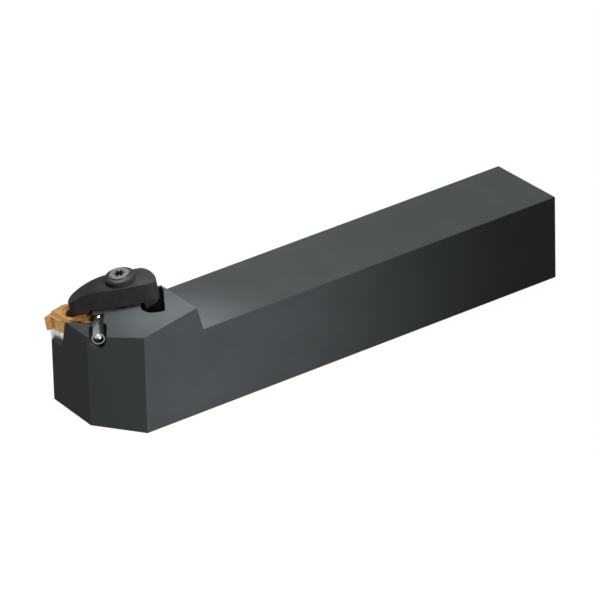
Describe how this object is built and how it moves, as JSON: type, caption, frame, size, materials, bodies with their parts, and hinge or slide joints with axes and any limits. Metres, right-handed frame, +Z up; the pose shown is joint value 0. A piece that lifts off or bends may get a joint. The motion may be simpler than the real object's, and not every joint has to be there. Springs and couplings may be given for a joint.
{
  "type": "external threading tool",
  "caption": "Square-shank lathe holder for external threading, with an indexable insert on a shim, a claw clamp with its screw and lifting spring, and a coolant nozzle.",
  "frame": {"origin": "middle of the shank's underside, 60 mm in front of its rear face", "axes": "+X from the cutting end towards the rear face, +Y towards the cutting side, +Z up; the shank's underside lies on Z = 0"},
  "size_m": [0.15, 0.0327, 0.0386],
  "materials": {
    "blackened_steel": "satin black oxide",
    "shim_carbide": "ground, uncoated",
    "dark_screw_steel": "black oxide",
    "gold_coated_carbide": "satin gold coating",
    "clamp_steel": "satin black oxide",
    "screw_steel": "satin grey",
    "spring_steel": "bright drawn wire",
    "polished_steel": "polished"
  },
  "bodies": {
    "holder": {"holder_body": "blackened_steel", "shim": "shim_carbide", "shim_screw": "dark_screw_steel", "threading_insert": "gold_coated_carbide", "nozzle_tube": "polished_steel", "sealing_ball": "polished_steel", "clamp_spring": "spring_steel"},
    "clamp_arm": {"clamp": "clamp_steel"},
    "clamp_bolt": {"clamp_screw": "screw_steel"}
  },
  "joints": [
    {"name": "clamp_lift", "type": "slide", "parent": "holder", "child": "clamp_arm", "axis": [-0.1736, 0.0262, 0.9845], "range_m": [0, 0.0024], "deforming": ["clamp_spring"]},
    {"name": "clamp_screw_turn", "type": "hinge", "parent": "clamp_arm", "child": "clamp_bolt", "pos_m": [-0.07213, 0.00709, 0.02975], "axis": [-0.1736, 0.0262, 0.9845], "range_deg": [0, 1080]}
  ],
  "couplings": [
    {"joint": "clamp_screw_turn", "follows": "clamp_lift", "rad_per_m": 7853.9}
  ]
}
